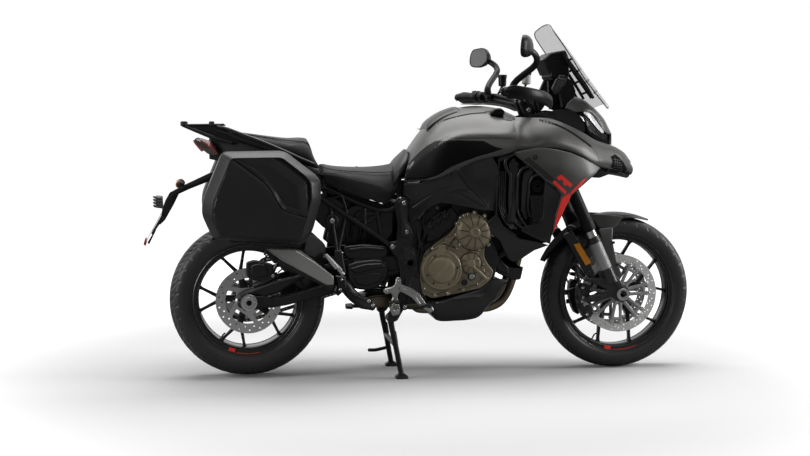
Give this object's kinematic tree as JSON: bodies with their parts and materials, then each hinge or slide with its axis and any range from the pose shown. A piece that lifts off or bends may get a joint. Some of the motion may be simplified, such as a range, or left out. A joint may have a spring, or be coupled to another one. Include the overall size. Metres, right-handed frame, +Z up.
{
  "type": "adventure touring motorcycle",
  "caption": "Tall two-wheeled road and track machine with a beaked fairing, high screen, stepped seat, hard side cases and a centre stand.",
  "frame": {"origin": "on the floor, in the middle of the overall length, on the centre plane", "axes": "+X forward, +Y to the rider's left, +Z up"},
  "size_m": [2.3063, 0.986, 1.456],
  "materials": {
    "graphite_paint": "satin graphite grey lacquer",
    "black_plastic": "grained black moulding",
    "seat_cover": "matt black cover",
    "black_metal": "black coating",
    "black_alloy": "black coated alloy",
    "cast_alloy": "raw cast alloy",
    "bronze_cover": "bronze lacquered casting",
    "bright_steel": "ground steel",
    "tyre": "road tread",
    "clear_screen": "lightly tinted",
    "lamp": "clear lens",
    "red_lamp": "red lens"
  },
  "bodies": {
    "chassis": {"engine": "cast_alloy", "engine_covers": "bronze_cover", "fuel_tank": "graphite_paint", "tail_unit": "black_plastic", "nose_fairing": "graphite_paint", "headlight": "lamp", "radiators": "black_alloy", "radiator_shrouds": "black_plastic", "side_fairings": "graphite_paint", "wing_panels": "graphite_paint", "knee_panels": "black_plastic", "main_frame": "black_alloy", "pivot_plates": "black_alloy", "subframe": "black_metal", "swingarm": "black_alloy", "drive_chain": "bright_steel", "rear_axle": "bright_steel", "rear_caliper": "cast_alloy", "rear_shock": "black_alloy", "rear_mudguard": "black_plastic", "side_shields": "black_plastic", "rider_seat": "seat_cover", "passenger_seat": "seat_cover", "rear_rack": "black_alloy", "tail_light": "red_lamp", "plate_holder": "black_plastic", "windscreen": "clear_screen", "dashboard": "black_plastic", "belly_pan": "black_plastic", "exhaust_headers": "black_alloy", "silencer": "black_alloy", "rider_footrests": "cast_alloy", "passenger_footrests": "cast_alloy", "pannier_cases": "black_plastic"},
    "steering": {"fork_yokes": "black_alloy", "handlebar": "black_alloy", "fork_outer_tubes": "black_alloy", "fork_lower_legs": "bright_steel", "front_axle": "bright_steel", "front_calipers": "cast_alloy", "front_mudguard": "graphite_paint", "hand_controls": "black_plastic", "mirrors": "black_plastic", "hand_guards": "black_plastic"},
    "front_wheel": {"front_tyre": "tyre", "front_rim": "black_alloy", "front_brake_discs": "bright_steel"},
    "rear_wheel": {"rear_tyre": "tyre", "rear_rim": "black_alloy", "rear_brake_disc": "bright_steel", "rear_sprocket": "bright_steel"},
    "centre_stand": {"centre_stand": "black_metal"},
    "side_stand": {"side_stand": "black_metal"},
    "pannier_lid_left": {"pannier_lid_left": "graphite_paint"},
    "pannier_lid_right": {"pannier_lid_right": "graphite_paint"}
  },
  "joints": [
    {"name": "steering_turn", "type": "hinge", "parent": "chassis", "child": "steering", "pos_m": [0.49537, 0, 0.957], "axis": [-0.4147, 0, 0.91], "range_deg": [-34, 34]},
    {"name": "front_wheel_spin", "type": "hinge", "parent": "steering", "child": "front_wheel", "pos_m": [0.829, 0, 0.3253], "axis": [0, 1, 0], "continuous": true},
    {"name": "rear_wheel_spin", "type": "hinge", "parent": "chassis", "child": "rear_wheel", "pos_m": [-0.738, 0, 0.3259], "axis": [0, 1, 0], "continuous": true},
    {"name": "centre_stand_fold", "type": "hinge", "parent": "chassis", "child": "centre_stand", "pos_m": [-0.163, 0, 0.252], "axis": [0, 1, 0], "range_deg": [0, 105]},
    {"name": "side_stand_swing", "type": "hinge", "parent": "chassis", "child": "side_stand", "pos_m": [-0.07, 0.176, 0.262], "axis": [0, -0.8829, -0.4695], "range_deg": [0, 100]},
    {"name": "pannier_lid_left_open", "type": "hinge", "parent": "chassis", "child": "pannier_lid_left", "pos_m": [-0.534, 0.3002, 0.567], "axis": [-0.9976, 0, 0.0692], "range_deg": [0, 80]},
    {"name": "pannier_lid_right_open", "type": "hinge", "parent": "chassis", "child": "pannier_lid_right", "pos_m": [-0.534, -0.3002, 0.567], "axis": [0.9976, 0, -0.0692], "range_deg": [0, 80]}
  ]
}
